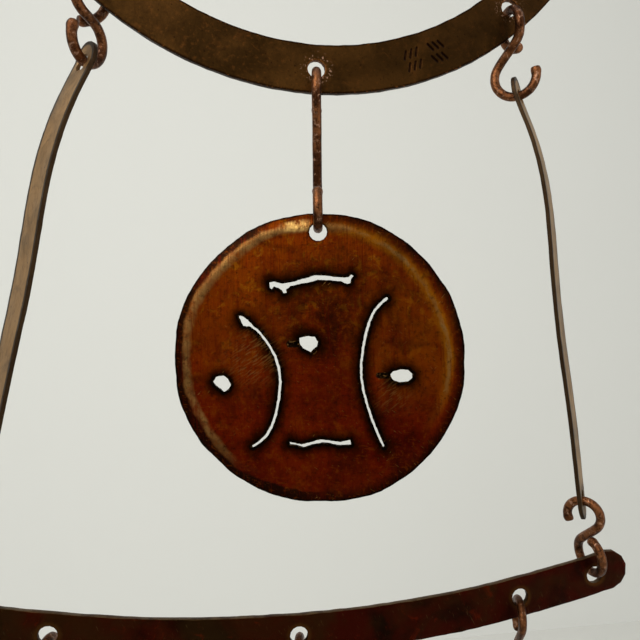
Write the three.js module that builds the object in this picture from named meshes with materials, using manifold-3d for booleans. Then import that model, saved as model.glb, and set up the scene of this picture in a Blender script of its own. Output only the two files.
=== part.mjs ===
// A hanging mobile of torch-cut steel plate, flat bar and bent rod.
// Millimetres, +Z up, -Y towards the viewer. The origin is the point under the top of the
// hanger's upper loop, where a nail or a ceiling hook carries the whole mobile.

import * as THREE from 'three';
import Module from 'manifold-3d';
import { mergeVertices } from 'three/addons/utils/BufferGeometryUtils.js';

const wasm = await Module();
wasm.setup();

// ---------------------------------------------------------------- driving sizes

const gap = 0.45;                // clearance kept where a rod bears in a hole
const obliqueGap = 1.1;          // the same where the rod crosses its hole at a slant
const hookRod = 4.8;             // rod of the hanger, the centre hook and the strap hooks
const pendantRod = 4.1;          // thinner rod of the three pendant hooks
const holeRadius = 4.65;         // punched hanging holes

const ring = {
  outerRadius: 173,
  width: 25,
  thickness: 3,
  leftHoleAngle: -43,            // degrees round from the bottom hole to the side holes
  rightHoleAngle: 41.5,
};

const disc = {
  radius: 75,
  thickness: 2,
  holeAbove: 65.1,               // from the disc's centre up to its hanging hole
  holeLeft: 1,
  turn: -9.5,                    // degrees that the disc has turned on its hook from the ring's plane
  waves: [[2, 0.4, 27], [3, 0.33, 39], [8, 0.2, 20]],   // hand-cut edge: [lobes, mm, degrees]
};

const pendantDisc = {
  radius: 50,
  thickness: 2,
  holeAbove: 42.5,
  holeLeft: 0,
  turn: -6,
  waves: [[2, 0.35, 70], [3, 0.3, 10], [7, 0.15, 0]],
};

const strap = {
  width: 19,
  thickness: 2,
  endAboveHole: 11.5,            // from a hole's centre to the rounded end of the strap
  faceTurn: 38,                  // degrees that each strap's face turns towards the front
  bow: 4,                        // outward bow of the whole strap
  kick: 8,                       // extra outward bend near its top
};

const bar = {
  radius: 714,                   // of the bar's middle line, centre of curvature above it
  width: 21.2,
  thickness: 3,
  halfLength: 175,
  offset: -9,                    // the bar hangs a little to the left of the ring's centre
  drop: 451.4,                   // from the ring's centre down to the bar's middle line
  strapHole: 166,                // from the bar's middle to each strap hook's hole
  pendantHole: 121.5,            // from the bar's middle to each side pendant's hole
};

// Hooks: wire-centre span from top to bottom, loop radii to the wire's centre, the direction in
// which the shank leaves each loop (degrees in plan, 270 is the front), how far each tip goes
// round, and how far the upper tip is bent sideways to pass the shank.
const hanger = {
  span: 78, upperRadius: 13.6, lowerRadius: 10.2, upperTurn: 180, lowerTurn: 90,
  upperTip: 150, lowerTip: 150, rod: hookRod, steps: 40,
};
const centreHook = {
  span: 80.3, upperRadius: 10.2, lowerRadius: 10.2, upperTurn: 260.5, lowerTurn: 80.5,
  upperTip: 140, lowerTip: 150, rod: hookRod, steps: 38, lean: 0.7,
};
const rightUpperHook = {
  span: 46.4, upperRadius: 9.9, lowerRadius: 10.8, upperTurn: 272, lowerTurn: 146,
  upperTip: 184, lowerTip: 102, rod: hookRod, steps: 34, lean: 6.3, skew: 4.2,
};
const leftUpperHook = {
  span: 46.4, upperRadius: 12, lowerRadius: 10.8, upperTurn: 236, lowerTurn: 62,
  upperTip: 172, lowerTip: 113, rod: hookRod, steps: 34, lean: -5, skew: -9,
};
const rightLowerHook = {
  span: 41, upperRadius: 8.8, lowerRadius: 9.6, upperTurn: 310, lowerTurn: 95,
  upperTip: 110, lowerTip: 165, rod: hookRod, steps: 34,
};
const leftLowerHook = {
  span: 41, upperRadius: 8.8, lowerRadius: 9.6, upperTurn: 230, lowerTurn: 85,
  upperTip: 110, lowerTip: 165, rod: hookRod, steps: 34,
};
const pendantHook = {
  span: 44, upperRadius: 8.6, lowerRadius: 8.6, upperTurn: 256, lowerTurn: 84,
  upperTip: 165, lowerTip: 135, rod: pendantRod, steps: 32,
};

// Cut-outs of the centre disc, as [x, z] from its centre. The two long arcs are slots: points of
// the middle line, and the width at every point. The bars and holes are ragged outlines.
const discSlots = [
  { points: [[-41.4, 21.4], [-40, 20.2], [-38.4, 18.3], [-36.2, 17.3], [-34.4, 15.8],
             [-30.2, 12], [-23.2, 1], [-20.5, -12], [-22.8, -29], [-27.6, -40], [-34.6, -45.5]],
    widths: [1.2, 2.5, 4, 1.9, 1.2, 1.2, 1.3, 1.4, 1.3, 1.4, 1.1] },
  { points: [[34.6, 31], [28, 24.4], [23.8, 13], [21.3, -3], [22.3, -16], [27, -32],
             [32.8, -45.5]],
    widths: [1.4, 1.3, 1.4, 1.2, 1.2, 1.2, 1.1] },
];
const discOutlines = {
  upperBar: [[-26.2, 39.1], [-23.8, 39.5], [-19.3, 38.5], [-14.1, 39.3], [-9.6, 40.8],
             [-6.1, 41.6], [-3.1, 42.9], [2.7, 42.7], [7.9, 41.9], [13, 41.6], [15, 42],
             [16.1, 43.2], [17.4, 42.4], [16.1, 41], [15.7, 38.8], [14.1, 38.2], [11.1, 39.5],
             [5.3, 40.2], [-1.2, 40.4], [-5.7, 39.1], [-10, 38.5], [-15.4, 37], [-17.4, 35.4],
             [-17.2, 33.9], [-18.8, 33.4], [-19.8, 35.1], [-21.6, 36.2], [-23.6, 36.9],
             [-24.7, 35.5], [-25.9, 36.3]],
  lowerBar: [[-15.7, -43.2], [-12.8, -43.6], [-9.4, -44.5], [-5.9, -43.6], [0.1, -41.9],
             [4.4, -42.4], [10.4, -43.2], [15.6, -42.2], [16.2, -44.7], [9.6, -45], [5.3, -44],
             [1, -43.7], [-4.2, -44.7], [-8.5, -46], [-12.3, -44.9], [-15.4, -44.6]],
  leftHole: [[-55.3, -12.3], [-53.7, -9.6], [-49.9, -8.9], [-47.3, -10.7], [-45.9, -13.6],
             [-47.1, -15.9], [-49.5, -17.5], [-51.2, -16.1], [-53.7, -14.3]],
  middleHole: [[-10.8, 10.3], [-8.9, 11], [-5.7, 11.4], [-2.7, 11], [-1.1, 8.5], [-1.4, 6.2],
               [-3.5, 4.6], [-4.8, 3.1], [-6.6, 4.1], [-8.9, 5.2], [-10.3, 7]],
  rightHole: [[36.3, -8.5], [37.6, -6.6], [41.5, -5.8], [45.6, -6.1], [47.8, -8.1],
              [47.6, -10.3], [45.6, -12], [41.2, -12.4], [38.2, -11.6], [36.8, -10.3]],
};

// The pendants below carry a plainer cut: two short arcs and one hole.
const pendantSlots = [
  { points: [[-16, 17], [-11, 4], [-12, -9], [-17, -20]], widths: [1.6, 1.8, 1.8, 1.6] },
  { points: [[16, 18], [11.5, 5], [12, -9], [17, -19]], widths: [1.6, 1.8, 1.8, 1.6] },
];
const pendantOutlines = {
  middleHole: [[-3.9, -2.2], [-3, 0.6], [-0.6, 1.5], [2.4, 1], [3.9, -1.4], [3.1, -4.2],
               [0.4, -5.4], [-2.8, -4.6]],
};

// ---------------------------------------------------------------- places

const radians = THREE.MathUtils.degToRad;
const hookSeat = holeRadius - gap - hookRod / 2;      // a hole's centre to that of a rod in it
const pendantSeat = holeRadius - gap - pendantRod / 2;
const obliqueSeat = holeRadius - obliqueGap - hookRod / 2;

function down(point, distance, leanX = 0) {
  const lean = radians(leanX);
  const way = new THREE.Vector3(Math.sin(lean), 0, -Math.cos(lean));
  return point.clone().addScaledVector(way, distance);
}

const ringHoleRadius = ring.outerRadius - ring.width / 2;
const hangerTop = new THREE.Vector3(0, 0, hookRod / 2);
const ringTopHole = down(hangerTop, hanger.span + hookSeat);
const ringCentre = down(ringTopHole, ringHoleRadius);

function ringHole(angle) {
  return down(ringCentre, ringHoleRadius, angle);
}

const barCentre = down(ringCentre, bar.drop);
barCentre.x = bar.offset;

// A point on the bar's middle line, given by its distance along the chord.
function onBar(u) {
  const rise = bar.radius - Math.sqrt(bar.radius ** 2 - u ** 2);
  return new THREE.Vector3(barCentre.x + u, 0, barCentre.z + rise);
}

// Everything between a side hole of the ring and the bar lies on one line of pull.
function sidePlaces(side, upper, lower) {
  const angle = side < 0 ? ring.leftHoleAngle : ring.rightHoleAngle;
  const upperTop = down(ringHole(angle), obliqueSeat);
  const strapTop = down(upperTop, upper.span + obliqueSeat, upper.lean);
  const barHole = onBar(side * bar.strapHole);
  const lean = Math.atan2(barHole.x - strapTop.x, strapTop.z - barHole.z) / radians(1);
  const lowerTop = down(barHole, -(lower.span + obliqueSeat), lean);
  const strapBottom = down(lowerTop, -obliqueSeat, lean);
  return { upperTop, strapTop, strapBottom, lowerTop, lean };
}

// ---------------------------------------------------------------- geometry helpers

function steel(colour, roughness, metalness) {
  return new THREE.MeshStandardMaterial({ color: colour, roughness, metalness });
}

const olivePlate = steel(0x3f2913, 0.45, 0.7);
const amberPlate = steel(0x5c2303, 0.35, 0.8);
const maroonBar = steel(0x2c0b03, 0.4, 0.7);
const greyBar = steel(0x665947, 0.5, 0.7);
const copperRod = steel(0x6a3f22, 0.4, 0.8);

function named(name, geometry, material, place) {
  const mesh = new THREE.Mesh(geometry, material);
  mesh.name = name;
  if (place) mesh.position.copy(place);
  return mesh;
}

function toManifold(geometry) {
  const bare = geometry.clone();
  bare.deleteAttribute('normal');
  bare.deleteAttribute('uv');
  const merged = mergeVertices(bare, 1e-4);
  return new wasm.Manifold(new wasm.Mesh({
    numProp: 3,
    vertProperties: new Float32Array(merged.attributes.position.array),
    triVerts: new Uint32Array(merged.index.array),
  }));
}

function fromManifold(solid) {
  const mesh = solid.getMesh();
  const geometry = new THREE.BufferGeometry();
  const positions = new Float32Array(mesh.vertProperties);
  geometry.setAttribute('position', new THREE.BufferAttribute(positions, 3));
  geometry.setIndex(new THREE.BufferAttribute(new Uint32Array(mesh.triVerts), 1));
  geometry.computeVertexNormals();
  return geometry;
}

// Points of a circle, from a first angle in degrees, with optional waves in its edge.
function roundOutline(x, y, radius, count, first = 0, waves = []) {
  const points = [];
  for (let i = 0; i < count; i += 1) {
    const angle = (i / count) * 2 * Math.PI + radians(first);
    let wave = 0;
    for (const [lobes, height, phase] of waves) {
      wave += height * Math.cos(lobes * (angle + radians(phase)));
    }
    const reach = radius + wave;
    points.push(new THREE.Vector2(x + reach * Math.cos(angle), y + reach * Math.sin(angle)));
  }
  return points;
}

// Outline of a slot that follows a smooth line, with its own width along the way.
function slotOutline({ points, widths }) {
  const line = new THREE.SplineCurve(points.map(([x, z]) => new THREE.Vector2(x, z)));
  const count = 2 * (points.length - 1);
  const left = [];
  const right = [];
  for (let i = 0; i <= count; i += 1) {
    const t = i / count;
    const along = t * (widths.length - 1);
    const step = Math.min(Math.floor(along), widths.length - 2);
    const half = THREE.MathUtils.lerp(widths[step], widths[step + 1], along - step) / 2;
    const middle = line.getPoint(t);
    const tangent = line.getTangent(t);
    const side = new THREE.Vector2(-tangent.y, tangent.x).multiplyScalar(half);
    left.push(middle.clone().add(side));
    right.unshift(middle.clone().sub(side));
  }
  const start = line.getPoint(0).addScaledVector(line.getTangent(0), -widths[0] / 2);
  const end = line.getPoint(1).addScaledVector(line.getTangent(1), widths[widths.length - 1] / 2);
  return [start, ...left, end, ...right];
}

// A flat plate standing in the XZ plane, its thickness shared either side of Y = 0.
function plate(outline, cutOuts, thickness) {
  const shape = new THREE.Shape(outline);
  for (const cutOut of cutOuts) shape.holes.push(new THREE.Path(cutOut));
  const geometry = new THREE.ExtrudeGeometry(shape, { depth: thickness, bevelEnabled: false });
  geometry.translate(0, 0, -thickness / 2);
  geometry.rotateX(Math.PI / 2);
  return geometry;
}

function hangingHole(x, z) {
  return roundOutline(x, z, holeRadius, 14);
}

// ---------------------------------------------------------------- bent rod

function plan(angle) {
  return new THREE.Vector3(Math.cos(radians(angle)), Math.sin(radians(angle)), 0);
}

// An S-shaped hook from the wire's centre at the top of its upper loop, hanging straight down
// and then leaned sideways. Each loop has its own plane, so a hook may be twisted.
function hookGeometry(hook, lean = hook.lean ?? 0) {
  const { span, upperRadius, lowerRadius, upperTip, lowerTip, skew = 0 } = hook;
  const up = new THREE.Vector3(0, 0, 1);
  const crossing = Math.asin((upperRadius + lowerRadius) / (span - upperRadius - lowerRadius));
  const leave = 90 + crossing / radians(1);
  const sideways = plan(hook.upperTurn + 90);
  const points = [];
  function arc(centreZ, radius, outward, rise, from, to) {
    const count = Math.ceil(Math.abs(to - from) / 20);
    for (let i = 0; i <= count; i += 1) {
      const degrees = THREE.MathUtils.lerp(from, to, i / count);
      const tipward = rise > 0 ? Math.max(-degrees / upperTip, 0) : 0;
      points.push(new THREE.Vector3(0, 0, centreZ)
        .addScaledVector(outward, radius * Math.sin(radians(degrees)))
        .addScaledVector(up, rise * radius * Math.cos(radians(degrees)))
        .addScaledVector(sideways, skew * tipward ** 2));
    }
  }
  arc(-upperRadius, upperRadius, plan(hook.upperTurn), 1, -upperTip, leave - 8);
  arc(lowerRadius - span, lowerRadius, plan(hook.lowerTurn), -1, leave - 8, -lowerTip);
  for (const point of points) point.applyAxisAngle(new THREE.Vector3(0, 1, 0), -radians(lean));
  const path = new THREE.CatmullRomCurve3(points, false, 'centripetal');
  const section = new THREE.Shape(roundOutline(0, 0, hook.rod / 2, 8, 22.5));
  return new THREE.ExtrudeGeometry(section, {
    steps: hook.steps, bevelEnabled: false, extrudePath: path,
  });
}

// ---------------------------------------------------------------- plates and bars

function ringGeometry() {
  const inner = ring.outerRadius - ring.width;
  const angles = [180, ring.leftHoleAngle, 0, ring.rightHoleAngle];
  const holes = angles.map((angle) => {
    const place = ringHole(angle).sub(ringCentre);
    return hangingHole(place.x, place.z);
  });
  const outline = roundOutline(0, 0, ring.outerRadius, 96);
  return plate(outline, [roundOutline(0, 0, inner, 84), ...holes], ring.thickness);
}

function discGeometry(size, slots, outlines, count) {
  const outline = roundOutline(0, 0, size.radius, count, 0, size.waves);
  const cutOuts = [hangingHole(-size.holeLeft, size.holeAbove)];
  for (const slot of slots) cutOuts.push(slotOutline(slot));
  for (const corners of Object.values(outlines)) {
    cutOuts.push(corners.map(([x, z]) => new THREE.Vector2(x, z)));
  }
  return plate(outline, cutOuts, size.thickness);
}

// The lower bar, from its middle point: two concentric arcs closed by rounded ends.
function barGeometry() {
  const outline = [];
  const half = bar.width / 2;
  const endAngle = Math.asin(bar.halfLength / bar.radius);
  function edge(offset, from, to) {
    const count = 22;
    for (let i = 0; i <= count; i += 1) {
      const angle = THREE.MathUtils.lerp(from, to, i / count);
      const radius = bar.radius + offset;
      const z = bar.radius - radius * Math.cos(angle);
      outline.push(new THREE.Vector2(radius * Math.sin(angle), z));
    }
  }
  function roundEnd(angle, side) {
    const fall = 1 - Math.cos(angle);
    const centre = new THREE.Vector2(bar.radius * Math.sin(angle), bar.radius * fall);
    for (let i = 1; i < 6; i += 1) {
      const turn = -Math.PI / 2 * side + (i / 6) * Math.PI + angle;
      outline.push(new THREE.Vector2(half * Math.cos(turn), half * Math.sin(turn)).add(centre));
    }
  }
  edge(half, -endAngle, endAngle);
  roundEnd(endAngle, 1);
  edge(-half, endAngle, -endAngle);
  roundEnd(-endAngle, -1);
  const holes = [];
  for (const u of [-bar.strapHole, -bar.pendantHole, 0, bar.pendantHole, bar.strapHole]) {
    const place = onBar(u).sub(barCentre);
    holes.push(hangingHole(place.x, place.z));
  }
  return plate(outline, holes, bar.thickness);
}

// A flat strap from its top hole, straight down, bowed outwards, with rounded ends.
function strapGeometry(holeSpacing) {
  const length = holeSpacing + 2 * strap.endAboveHole;
  const half = strap.width / 2;
  function bend(t) {
    return strap.bow * Math.sin(Math.PI * t) + strap.kick * Math.sin(2 * Math.PI * t) * (1 - t) ** 2;
  }
  const outer = [];
  const inner = [];
  const count = 26;
  for (let i = 0; i <= count; i += 1) {
    const z = strap.endAboveHole - (i / count) * length;
    const t = THREE.MathUtils.clamp(-z / holeSpacing, 0, 1);
    outer.push(new THREE.Vector2(bend(t) + strap.thickness / 2, z));
    inner.unshift(new THREE.Vector2(bend(t) - strap.thickness / 2, z));
  }
  const ribbon = plate([...outer, ...inner].reverse(), [], strap.width);

  const outline = [];
  const topCentre = strap.endAboveHole - half;
  for (const [centreZ, start] of [[topCentre, 0], [-topCentre - holeSpacing, 180]]) {
    for (let i = 0; i <= 10; i += 1) {
      const angle = radians(start + i * 18);
      outline.push(new THREE.Vector2(half * Math.cos(angle), centreZ + half * Math.sin(angle)));
    }
  }
  const cutter = plate(outline, [hangingHole(0, 0), hangingHole(0, -holeSpacing)], 60);
  cutter.rotateZ(Math.PI / 2);
  return fromManifold(toManifold(ribbon).intersect(toManifold(cutter)));
}

// ---------------------------------------------------------------- the mobile

const mobile = new THREE.Group();

// A disc whose hanging hole is at the given point, turned about the upright line through it.
function hungDisc(name, geometry, size, hole) {
  geometry.translate(size.holeLeft, 0, -size.holeAbove);
  const mesh = named(name, geometry, amberPlate, hole);
  mesh.rotation.z = radians(size.turn);
  return mesh;
}

mobile.add(named('hanger_hook', hookGeometry(hanger), copperRod, hangerTop));
mobile.add(named('upper_ring', ringGeometry(), olivePlate, ringCentre));

const centreTop = down(ringHole(0), hookSeat);
const discHole = down(centreTop, centreHook.span + hookSeat, centreHook.lean);
mobile.add(named('centre_hook', hookGeometry(centreHook), copperRod, centreTop));
const centreDisc = discGeometry(disc, discSlots, discOutlines, 72);
mobile.add(hungDisc('centre_disc', centreDisc, disc, discHole));

const sides = [
  ['left', -1, leftUpperHook, leftLowerHook],
  ['right', 1, rightUpperHook, rightLowerHook],
];
for (const [side, sign, upper, lower] of sides) {
  const places = sidePlaces(sign, upper, lower);
  mobile.add(named(`${side}_upper_hook`, hookGeometry(upper), copperRod, places.upperTop));
  const lowerHook = hookGeometry(lower, places.lean);
  mobile.add(named(`${side}_lower_hook`, lowerHook, copperRod, places.lowerTop));

  const holeSpacing = places.strapTop.distanceTo(places.strapBottom);
  const strapMesh = named(`${side}_strap`, strapGeometry(holeSpacing), greyBar);
  strapMesh.rotation.z = sign > 0 ? -radians(strap.faceTurn) : Math.PI + radians(strap.faceTurn);
  const leaning = new THREE.Group();
  leaning.position.copy(places.strapTop);
  leaning.rotation.y = -radians(places.lean);
  leaning.add(strapMesh);
  mobile.add(leaning);
}

mobile.add(named('lower_bar', barGeometry(), maroonBar, barCentre));

for (const [side, u] of [['left', -bar.pendantHole], ['centre', 0], ['right', bar.pendantHole]]) {
  const top = down(onBar(u), pendantSeat);
  const hole = down(top, pendantHook.span + pendantSeat);
  mobile.add(named(`${side}_pendant_hook`, hookGeometry(pendantHook), copperRod, top));
  const pendant = discGeometry(pendantDisc, pendantSlots, pendantOutlines, 48);
  mobile.add(hungDisc(`${side}_pendant_disc`, pendant, pendantDisc, hole));
}

export default mobile;
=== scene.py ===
"""A hanging mobile of torch-cut steel plate, flat bar and bent rod.

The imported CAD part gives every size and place. Each operator below takes one piece, or one
group of like pieces, and gives it its worked edges, uneven surface and finish.
"""

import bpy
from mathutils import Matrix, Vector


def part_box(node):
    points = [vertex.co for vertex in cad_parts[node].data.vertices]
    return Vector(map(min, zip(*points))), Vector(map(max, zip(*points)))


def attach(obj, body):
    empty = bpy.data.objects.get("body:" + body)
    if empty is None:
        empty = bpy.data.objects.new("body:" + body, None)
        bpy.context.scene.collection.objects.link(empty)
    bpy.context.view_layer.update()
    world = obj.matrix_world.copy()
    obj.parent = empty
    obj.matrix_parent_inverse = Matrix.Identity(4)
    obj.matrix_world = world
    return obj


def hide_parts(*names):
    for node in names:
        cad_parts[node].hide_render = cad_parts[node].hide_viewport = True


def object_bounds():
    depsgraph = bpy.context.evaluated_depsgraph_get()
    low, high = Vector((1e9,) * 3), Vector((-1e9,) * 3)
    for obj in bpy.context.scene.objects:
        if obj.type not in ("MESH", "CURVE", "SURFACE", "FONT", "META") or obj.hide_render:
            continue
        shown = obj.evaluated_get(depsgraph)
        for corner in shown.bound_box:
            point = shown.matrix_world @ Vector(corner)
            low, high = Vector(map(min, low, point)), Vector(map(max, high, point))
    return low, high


bl_info = {
    "name": "Hanging Mobile",
    "version": (1, 0, 0),
    "blender": (4, 5, 0),
    "location": "View3D > Sidebar > Mobile",
    "description": "Finishes the plates, rods and bars of a hanging steel mobile",
    "category": "Object",
}

import math

import bmesh
import bpy
from bpy.props import FloatProperty, FloatVectorProperty, IntProperty, PointerProperty
from mathutils import Matrix, Vector, kdtree, noise

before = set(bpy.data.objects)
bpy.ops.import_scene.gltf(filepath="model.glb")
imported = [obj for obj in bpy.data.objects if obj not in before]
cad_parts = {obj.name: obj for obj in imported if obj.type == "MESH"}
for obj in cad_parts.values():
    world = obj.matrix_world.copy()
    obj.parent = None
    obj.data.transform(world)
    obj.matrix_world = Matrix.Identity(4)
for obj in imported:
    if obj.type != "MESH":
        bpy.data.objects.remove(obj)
CAD_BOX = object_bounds()

MM = 0.001
MERGE = 0.002 * MM               # corners of the CAD triangles that are one corner
SHARP = math.radians(50)         # an edge that turns more than this is an arris
SMOOTH = math.radians(38)        # an edge of a plate that turns less than this is shaded smooth
ROD_SMOOTH = math.radians(70)    # the same for a rod
FAR = 40.0                       # mm, the longest distance that a piece's attributes hold
HOLE_SIZES = (9 * MM, 9.6 * MM)  # between the heights of a hanging hole's outline
HOLE_ROUND = 3.3 * MM            # the most that such an outline's width and height differ
TREE_STEP = 0.5 * MM             # between the points that stand for an outline
FIRST_REACH = 2.2                # how far from a cut its mesh is halved first, in mesh steps
REACH_FALL = 1.6                 # how many times nearer to it each next halving stays
NOISE_SEED = 7                   # keeps wander() the same at every run
UP = Vector((0, 0, 1))

# Sizes over which each kind of unevenness changes.
WARP_SIZE, HAMMER_SIZE, BEAD_SIZE, RIM_SIZE = 55 * MM, 9 * MM, 30 * MM, 14 * MM
LIP_SIZE, JAG_SIZE, SLOW_SIZE = 1.8 * MM, 1.7 * MM, 7 * MM
WAVER_SIZE, SCALE_SIZE = 16 * MM, 2.2 * MM

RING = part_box("upper_ring")
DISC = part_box("centre_disc")


def box_middle(box):
    return (box[0] + box[1]) / 2


def box_of(points):
    """The lowest and highest corners of a list of points."""
    return Vector(map(min, zip(*points))), Vector(map(max, zip(*points)))


def add_object(name, data):
    """A new object in the scene for a mesh, a lamp or a camera."""
    made = bpy.data.objects.new(name, data)
    bpy.context.scene.collection.objects.link(made)
    return made


def colour(red, green, blue):
    """A colour chip given as 0 to 255, as the linear values that Blender works in."""
    return tuple(c / 3294.6 if c <= 10.31 else ((c / 255 + 0.055) / 1.055) ** 2.4
                 for c in (red, green, blue))


# ------------------------------------------------------------------------------ settings

def length(name, description, default, high=2.0):
    return FloatProperty(name=name, description=description, default=default,
                         min=0.0, soft_max=high, unit="LENGTH", precision=5)


def chip(name, description, red, green, blue):
    return FloatVectorProperty(name=name, description=description, subtype="COLOR",
                               size=3, min=0.0, max=1.0, default=colour(red, green, blue))


class PlateSettings(bpy.types.PropertyGroup):
    """How the cut plates and bars are worked."""

    disc_step: length("Disc Step", "Mesh step over the big disc", 1.2 * MM)
    cut_step: length("Cut Step", "Mesh step beside the torch cuts", 0.55 * MM)
    ring_step: length("Ring Step", "Mesh step over the ring", 2.5 * MM)
    bar_step: length("Bar Step", "Mesh step over the lower bar and the straps", 3 * MM)
    stamp_step: length("Stamp Step", "Mesh step under the punched strokes", 0.4 * MM)
    arris: length("Arris", "Width of the worn corner along every edge", 0.25 * MM)
    bead_height: length("Bead Height", "Height of the beaten bead inside a disc's rim", 0.3 * MM)
    bead_width: length("Bead Width", "Width of that bead", 4.5 * MM)
    bead_inset: length("Bead Inset", "Distance of that bead from the rim", 7 * MM)
    bead_side: length("Bead Side", "How far the bead's circle sits to the left", 1.6 * MM)
    bead_stray: length("Bead Stray", "How far that bead strays from its circle", 2.2 * MM)
    rim_fall: length("Rim Fall", "How far the edge of a disc is beaten back", 0.32 * MM)
    warp: length("Warp", "Slow unevenness of a plate", 0.5 * MM)
    hammer: length("Hammer Marks", "Fine unevenness of a plate", 0.1 * MM)
    ragged: length("Ragged Cut", "Wander of a torch-cut edge", 0.3 * MM)
    edge_reach: length("Edge Reach", "Width of the uneven strip along a rim", 0.8 * MM)
    rim_wander: length("Rim Wander", "How far a disc's rim strays from its curve", 0.55 * MM)
    rim_reach: length("Rim Reach", "Width of the strip that strays with that rim", 6 * MM)
    lip: length("Cut Lip", "Height of the slag lip along a cut", 0.45 * MM)
    lip_reach: length("Lip Reach", "Width of that lip", 1.3 * MM)
    pit_depth: length("Pit Depth", "Depth of the pits where the torch was lit", 0.9 * MM)
    pit_radius: length("Pit Radius", "Width of a pit's sloping side", 1.9 * MM)
    stroke_depth: length("Stroke Depth", "Depth of the punched strokes", 0.5 * MM)
    stroke_width: length("Stroke Width", "Half width of a punched stroke", 0.9 * MM)


class RodSettings(bpy.types.PropertyGroup):
    """How the bent rods are worked."""

    waver: length("Waver", "How far a hand-bent rod strays from its line", 0.3 * MM)
    scale: length("Scale", "Roughness of the fire scale on a rod", 0.09 * MM)
    cap: length("Cap Corner", "Width of the rounded corner of a cut end", 0.45 * MM)
    smoothness: IntProperty(name="Smoothness", description="Subdivision of each rod",
                            default=1, min=0, max=3)


class ColourSettings(bpy.types.PropertyGroup):
    """Colours of the steel and its fire-stained lacquer, and of the painted light and shade on it.
    """

    ring_olive: chip("Ring Olive", "Main colour of the ring", 74, 47, 17)
    # Dark patches of the ring, also used as painted shade on its right side.
    ring_dark_and_shade: chip("Ring Dark", "Dark patches of the ring", 40, 24, 5)
    ring_copper: chip("Ring Copper", "Copper patches of the ring", 116, 68, 28)
    # Light amber of the discs, also used as their painted pool of light.
    disc_amber_and_painted_light: chip("Disc Amber", "Light part of the discs", 110, 49, 0)
    disc_copper: chip("Disc Copper", "Main colour of the discs", 97, 23, 0)
    disc_maroon: chip("Disc Maroon", "Dark part of the discs", 74, 8, 0)
    # Olive lacquer patches, also used as a painted sheen over the bead.
    disc_olive_and_highlight: chip("Disc Olive", "Thin olive lacquer of the discs", 132, 78, 6)
    # Gold of slag, nicks and scratches, also used as the painted highlight along the bead.
    disc_gold_and_highlight: chip("Disc Gold", "Bead inside the rim of a disc", 128, 92, 48)
    # Painted highlight to the left of a disc's hanging hole.
    disc_highlight: chip("Disc Bright", "Rubbed spots of the bead", 214, 170, 96)
    # Smoke stains, also used as painted shade on the disc rims, the disc bottoms and the downward
    # edges of the lower bar.
    burnt_and_shade: chip("Burnt", "Smoke stains around the torch cuts", 18, 5, 0)
    soot: chip("Soot", "Black crust on the torch cuts", 6, 3, 1)
    rod_copper: chip("Rod Copper", "Main colour of the rods", 116, 72, 42)
    rod_dark: chip("Rod Dark", "Scaled patches of the rods", 62, 33, 14)
    # Bright specks round the ring's hole, also used as painted highlights on the rods.
    rod_bright_and_highlight: chip("Rod Bright", "Rubbed patches of the rods", 184, 142, 116)
    strap_face: chip("Strap Face", "Faces of the side straps", 164, 128, 84)
    strap_edge: chip("Strap Edge", "Edges of the side straps", 34, 21, 8)
    bar_maroon: chip("Bar Maroon", "Main colour of the lower bar", 49, 7, 0)
    # Olive scratches, also used as painted light on the upward faces of the lower bar.
    bar_olive_and_light: chip("Bar Olive", "Upper edge of the lower bar", 88, 68, 44)


class StageSettings(bpy.types.PropertyGroup):
    """The floor, the wall, the lights and the camera."""

    floor: chip("Floor", "Colour of the floor", 222, 222, 217)
    wall: chip("Wall", "Colour of the wall", 226, 227, 223)
    floor_gap: length("Floor Gap", "Height of the lowest disc above the floor", 0.65)
    wall_gap: length("Wall Gap", "Distance of the wall behind the ring", 1.4)
    wall_width: length("Wall Width", "Width of the wall", 60.0, high=80.0)
    wall_height: length("Wall Height", "Height of the wall", 8.0, high=20.0)
    floor_depth: length("Floor Depth", "Width and depth of the floor", 60.0, high=80.0)
    sky: FloatProperty(name="Sky", description="Strength of the even light", default=0.62)
    key_power: FloatProperty(name="Key", description="Main light", default=22, unit="POWER")
    fill_power: FloatProperty(name="Fill", description="Weak light", default=5, unit="POWER")
    top_power: FloatProperty(name="Top", description="Light from above", default=14,
                             unit="POWER")
    camera_distance: length("Camera Distance", "From the camera to the ring", 310 * MM)
    camera_side: length("Camera Side", "Sideways step of the camera", 2 * MM)
    camera_drop: length("Camera Drop", "Height of the camera below the ring's centre",
                        289.8 * MM)
    camera_turn: FloatProperty(name="Camera Turn", description="Turn from square on",
                               default=math.radians(9.5), unit="ROTATION")
    lens: FloatProperty(name="Lens", description="Focal length on a 36 mm sensor, in mm",
                        default=33.75, min=10.0)


def settings(name):
    return getattr(bpy.context.scene, "mobile_" + name)


# -------------------------------------------------------------------------------- shader

class Value:
    """A socket's number or colour. Python's operators add Math nodes behind it."""

    def __init__(self, finish, socket):
        self.finish, self.socket = finish, socket

    def math(self, operation, first, second):
        return self.finish.node("Math", {"operation": operation}, {0: first, 1: second})

    def __add__(self, other):
        return self.math("ADD", self, other)

    def __sub__(self, other):
        return self.math("SUBTRACT", self, other)

    def __rsub__(self, other):
        return self.math("SUBTRACT", other, self)

    def __mul__(self, other):
        return self.math("MULTIPLY", self, other)

    def between(self, low, high):
        """0 below low and 1 above high, with a soft step; the other way round if low > high."""
        ends = {"From Min": min(low, high), "From Max": max(low, high)}
        step = self.finish.node("MapRange", {"interpolation_type": "SMOOTHSTEP"},
                                {"Value": self, **ends})
        return step if low < high else 1 - step


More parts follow.
